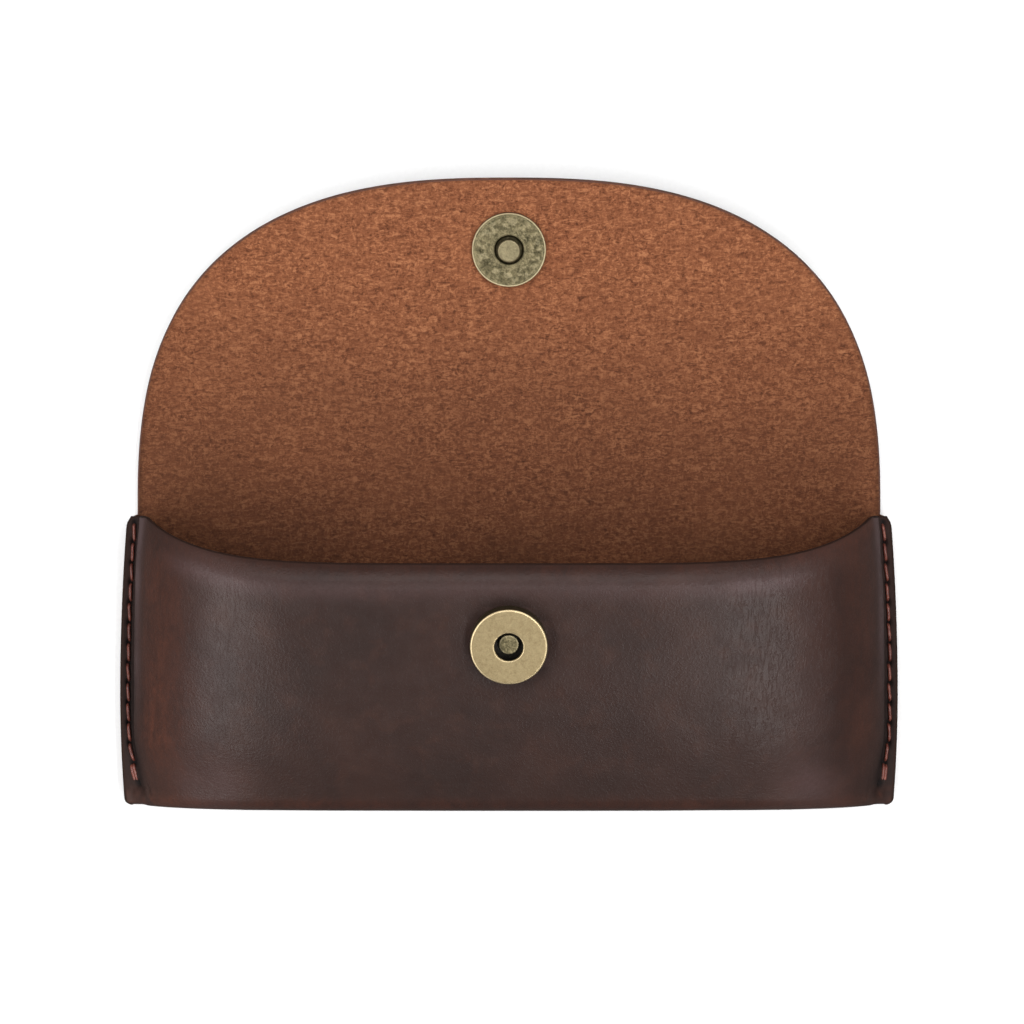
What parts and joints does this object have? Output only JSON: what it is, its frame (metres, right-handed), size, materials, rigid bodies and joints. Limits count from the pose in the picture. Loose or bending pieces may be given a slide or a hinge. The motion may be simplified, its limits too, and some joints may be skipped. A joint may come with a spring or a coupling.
{
  "type": "eyeglasses case",
  "caption": "Moulded leather eyeglasses case with sewn sides and a fold-over flap that closes on a magnetic snap.",
  "frame": {"origin": "centre of the back panel's rest face, on the table, midway between the bottom fold and the flap's fold line", "axes": "+X across the width, +Y from the bottom fold towards the flap, +Z out of the front"},
  "size_m": [0.1898, 0.1521, 0.0407],
  "materials": {
    "grain_leather": "waxed pull-up grain, dark brown",
    "flesh_leather": "napped flesh side, tan brown",
    "waxed_thread": "waxed twisted thread, reddish brown",
    "antique_brass": "antiqued, mottled",
    "ferrite": "matt ferrite magnet",
    "plated_steel": "dull brass-coloured plating"
  },
  "bodies": {
    "pocket": {"front_panel": "grain_leather", "back_panel": "grain_leather", "left_needle_thread": "waxed_thread", "left_bobbin_thread": "waxed_thread", "right_needle_thread": "waxed_thread", "right_bobbin_thread": "waxed_thread", "socket_cup": "antique_brass", "socket_magnet": "ferrite", "socket_base_plate": "plated_steel", "socket_rivet": "plated_steel"},
    "root_segment": {"flap_root": "flesh_leather"},
    "crown_segment": {"flap_crown": "flesh_leather"},
    "tongue_segment": {"flap_tongue": "flesh_leather", "stud_disc": "antique_brass", "stud_pin": "antique_brass", "stud_cap": "antique_brass"}
  },
  "joints": [
    {"name": "back_fold", "type": "hinge", "parent": "pocket", "child": "root_segment", "pos_m": [0, 0.036, 0.0022], "axis": [1, 0, 0], "range_deg": [0, 89.2]},
    {"name": "middle_fold", "type": "hinge", "parent": "root_segment", "child": "crown_segment", "pos_m": [0, 0.05949, 0.00302], "axis": [1, 0, 0], "range_deg": [0, 31.45]},
    {"name": "front_fold", "type": "hinge", "parent": "crown_segment", "child": "tongue_segment", "pos_m": [0, 0.08271, 0.00587], "axis": [1, 0, 0], "range_deg": [0, 59.19]}
  ],
  "couplings": [
    {"joint": "middle_fold", "follows": "back_fold", "ratio": 0.35243}
  ]
}
